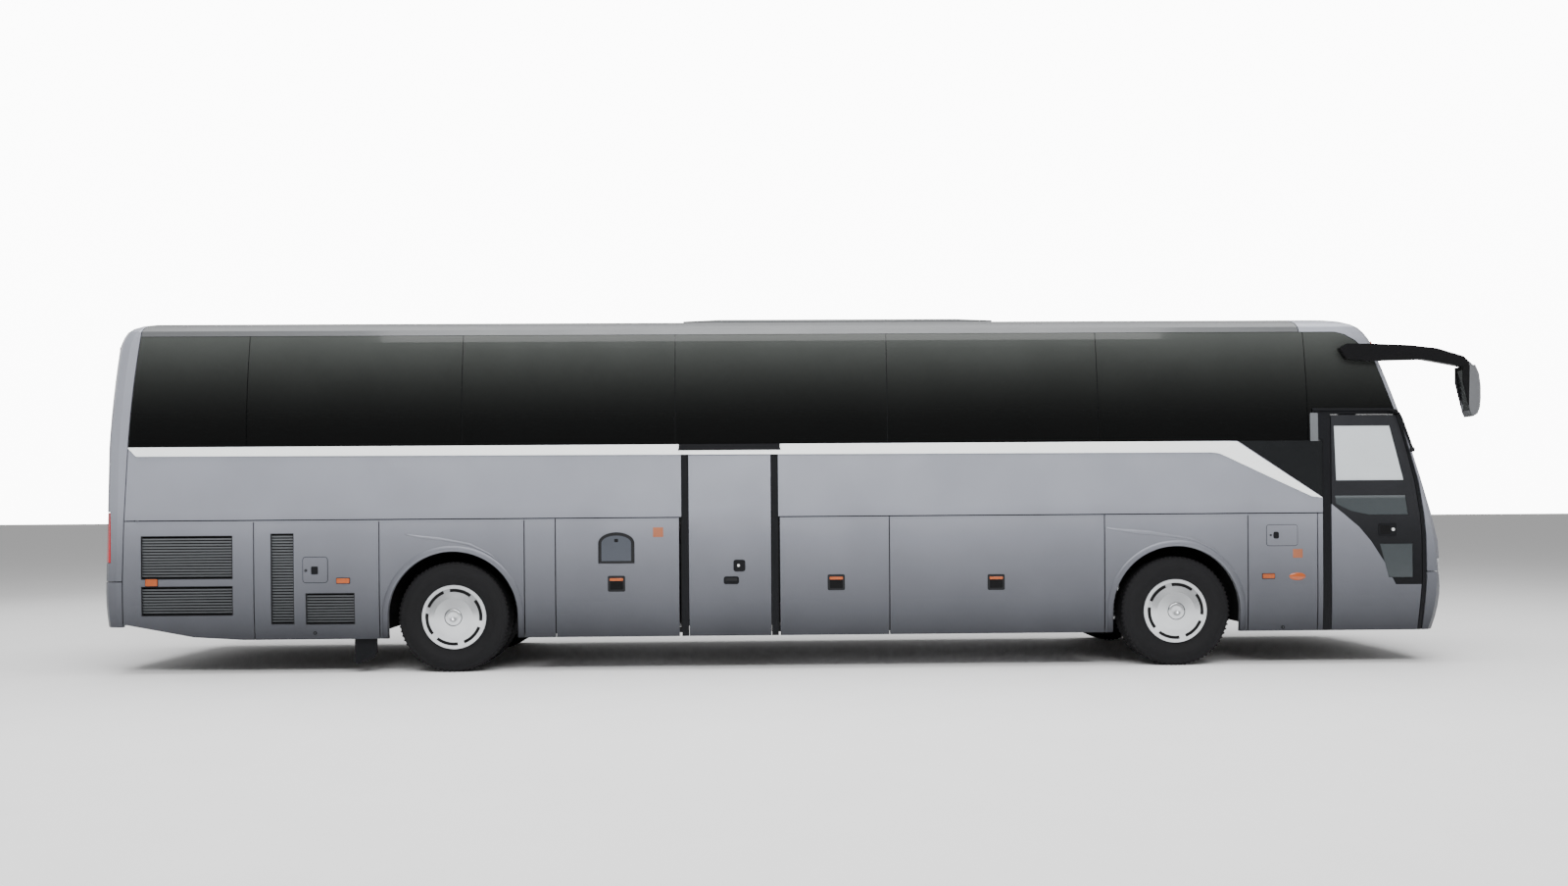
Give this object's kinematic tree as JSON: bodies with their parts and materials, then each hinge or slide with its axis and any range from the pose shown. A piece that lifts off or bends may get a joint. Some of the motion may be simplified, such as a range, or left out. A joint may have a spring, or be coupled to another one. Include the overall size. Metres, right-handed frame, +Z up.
{
  "type": "coach bus",
  "caption": "Single-deck touring coach with swing-out doors, luggage flaps, steered front wheels and twin rear wheels.",
  "frame": {"origin": "on the ground, midway between the tail and the tips of the mirrors, on the centre plane", "axes": "+X forwards, +Y to the coach's left, +Z up"},
  "size_m": [12.915, 2.586, 3.358],
  "materials": {
    "frame_steel": "matt black chassis paint",
    "floor": "ribbed floor covering",
    "bay_lining": "plain galvanised sheet",
    "liner": "matt black arch liner",
    "silver_paint": "metallic silver lacquer",
    "black_paint": "gloss black",
    "seal_rubber": "matt rubber and black profile",
    "tinted_glass": "dark tinted glass",
    "door_glass": "lightly tinted glass",
    "lamp_clear": "clear lamp cover",
    "lamp_red": "red lamp cover",
    "black_plastic": "grained black plastic",
    "seat_cloth": "woven seat cloth",
    "axle_steel": "painted casting",
    "rim_steel": "polished trim on a steel rim",
    "tyre": "tyre rubber"
  },
  "bodies": {
    "root": {"chassis_frame": "frame_steel", "tow_lugs": "frame_steel", "body_frame": "frame_steel", "saloon_floor": "floor", "luggage_bay": "bay_lining", "wheel_arches": "liner", "entry_steps": "floor", "roof_shell": "silver_paint", "roof_ac_cover": "silver_paint", "window_frames": "black_paint", "windows": "tinted_glass", "waist_panels": "silver_paint", "skirt_panels": "silver_paint", "quarter_panels": "black_paint", "door_frames": "seal_rubber", "driver_side_panel": "silver_paint", "front_mask": "silver_paint", "windscreen": "tinted_glass", "front_bumper": "silver_paint", "headlamps": "lamp_clear", "rear_cap": "silver_paint", "rear_bumper": "silver_paint", "tail_lamps": "lamp_red", "mirrors": "black_plastic", "mudflaps": "seal_rubber", "dashboard": "black_plastic", "seats": "seat_cloth", "luggage_racks": "floor", "engine": "axle_steel", "front_axle": "axle_steel", "rear_axle": "axle_steel", "suspension": "seal_rubber"},
    "knuckle_left": {"knuckle_left": "axle_steel"},
    "knuckle_right": {"knuckle_right": "axle_steel"},
    "tie_rod": {"tie_rod": "axle_steel"},
    "steering_wheel": {"steering_wheel": "black_plastic"},
    "wheel_front_left": {"rim_front_left": "rim_steel", "tyre_front_left": "tyre"},
    "wheel_front_right": {"rim_front_right": "rim_steel", "tyre_front_right": "tyre"},
    "wheel_rear_left": {"rim_rear_left": "rim_steel", "tyre_rear_left": "tyre"},
    "wheel_rear_right": {"rim_rear_right": "rim_steel", "tyre_rear_right": "tyre"},
    "front_door_arms": {"front_door_arms": "frame_steel"},
    "front_door": {"front_door": "silver_paint", "front_door_glass": "door_glass"},
    "middle_door_arms": {"middle_door_arms": "frame_steel"},
    "middle_door": {"middle_door": "silver_paint"},
    "flap_right_rear": {"flap_right_rear": "silver_paint"},
    "flap_right_middle": {"flap_right_middle": "silver_paint"},
    "flap_right_front": {"flap_right_front": "silver_paint"},
    "flap_left_rear": {"flap_left_rear": "silver_paint"},
    "flap_left_middle": {"flap_left_middle": "silver_paint"},
    "flap_left_front": {"flap_left_front": "silver_paint"},
    "engine_lid": {"engine_lid": "silver_paint"},
    "roof_hatch_front": {"roof_hatch_front": "black_plastic"},
    "roof_hatch_rear": {"roof_hatch_rear": "black_plastic"}
  },
  "joints": [
    {"name": "left_steer", "type": "hinge", "parent": "root", "child": "knuckle_left", "pos_m": [3.5825, 0.9415, 0.51], "axis": [0, 0, 1], "range_deg": [-45, 45]},
    {"name": "right_steer", "type": "hinge", "parent": "root", "child": "knuckle_right", "pos_m": [3.5825, -0.9415, 0.51], "axis": [0, 0, 1], "range_deg": [-45, 45]},
    {"name": "tie_rod_turn", "type": "hinge", "parent": "knuckle_left", "child": "tie_rod", "pos_m": [3.3925, 0.8815, 0.39], "axis": [0, 0, 1], "range_deg": [-45, 45]},
    {"name": "steering_wheel_turn", "type": "hinge", "parent": "root", "child": "steering_wheel", "pos_m": [5.77168, 0.62, 1.2], "axis": [-0.8829, 0, 0.4695], "range_deg": [-810, 810]},
    {"name": "front_left_wheel_spin", "type": "hinge", "parent": "knuckle_left", "child": "wheel_front_left", "pos_m": [3.5825, 1.1065, 0.51], "axis": [0, 1, 0], "continuous": true},
    {"name": "rear_left_wheel_spin", "type": "hinge", "parent": "root", "child": "wheel_rear_left", "pos_m": [-3.1475, 1.1065, 0.51], "axis": [0, 1, 0], "continuous": true},
    {"name": "front_right_wheel_spin", "type": "hinge", "parent": "knuckle_right", "child": "wheel_front_right", "pos_m": [3.5825, -1.1065, 0.51], "axis": [0, 1, 0], "continuous": true},
    {"name": "rear_right_wheel_spin", "type": "hinge", "parent": "root", "child": "wheel_rear_right", "pos_m": [-3.1475, -1.1065, 0.51], "axis": [0, 1, 0], "continuous": true},
    {"name": "front_door_swing", "type": "hinge", "parent": "root", "child": "front_door_arms", "pos_m": [5.8035, -1.178, 0.6], "axis": [0, 0, 1], "range_deg": [0, 150]},
    {"name": "front_door_leaf", "type": "hinge", "parent": "front_door_arms", "child": "front_door", "pos_m": [5.4435, -1.198, 0.6], "axis": [0, 0, 1], "range_deg": [-150, 0]},
    {"name": "middle_door_swing", "type": "hinge", "parent": "root", "child": "middle_door_arms", "pos_m": [-0.9035, -1.178, 0.6], "axis": [0, 0, 1], "range_deg": [-150, 0]},
    {"name": "middle_door_leaf", "type": "hinge", "parent": "middle_door_arms", "child": "middle_door", "pos_m": [-0.5435, -1.198, 0.6], "axis": [0, 0, 1], "range_deg": [0, 150]},
    {"name": "right_rear_flap_hinge", "type": "hinge", "parent": "root", "child": "flap_right_rear", "pos_m": [-0.5855, -1.275, 1.418], "axis": [-1, 0, 0], "range_deg": [0, 90]},
    {"name": "right_middle_flap_hinge", "type": "hinge", "parent": "root", "child": "flap_right_middle", "pos_m": [-0.5855, -1.275, 1.418], "axis": [-1, 0, 0], "range_deg": [0, 90]},
    {"name": "right_front_flap_hinge", "type": "hinge", "parent": "root", "child": "flap_right_front", "pos_m": [-0.5855, -1.275, 1.418], "axis": [-1, 0, 0], "range_deg": [0, 90]},
    {"name": "left_rear_flap_hinge", "type": "hinge", "parent": "root", "child": "flap_left_rear", "pos_m": [-0.5855, 1.275, 1.418], "axis": [1, 0, 0], "range_deg": [0, 90]},
    {"name": "left_middle_flap_hinge", "type": "hinge", "parent": "root", "child": "flap_left_middle", "pos_m": [-0.5855, 1.275, 1.418], "axis": [1, 0, 0], "range_deg": [0, 90]},
    {"name": "left_front_flap_hinge", "type": "hinge", "parent": "root", "child": "flap_left_front", "pos_m": [-0.5855, 1.275, 1.418], "axis": [1, 0, 0], "range_deg": [0, 90]},
    {"name": "engine_lid_hinge", "type": "hinge", "parent": "root", "child": "engine_lid", "pos_m": [-6.4295, 0, 1.755], "axis": [0, 1, 0], "range_deg": [0, 75]},
    {"name": "roof_hatch_front_hinge", "type": "hinge", "parent": "root", "child": "roof_hatch_front", "pos_m": [2.8165, 0, 3.33], "axis": [0, -1, 0], "range_deg": [0, 60]},
    {"name": "roof_hatch_rear_hinge", "type": "hinge", "parent": "root", "child": "roof_hatch_rear", "pos_m": [-4.0035, 0, 3.33], "axis": [0, -1, 0], "range_deg": [0, 60]}
  ],
  "couplings": [
    {"joint": "right_steer", "follows": "left_steer", "ratio": 1},
    {"joint": "tie_rod_turn", "follows": "left_steer", "ratio": -1},
    {"joint": "steering_wheel_turn", "follows": "left_steer", "ratio": 18},
    {"joint": "front_door_leaf", "follows": "front_door_swing", "ratio": -1},
    {"joint": "middle_door_leaf", "follows": "middle_door_swing", "ratio": -1}
  ]
}
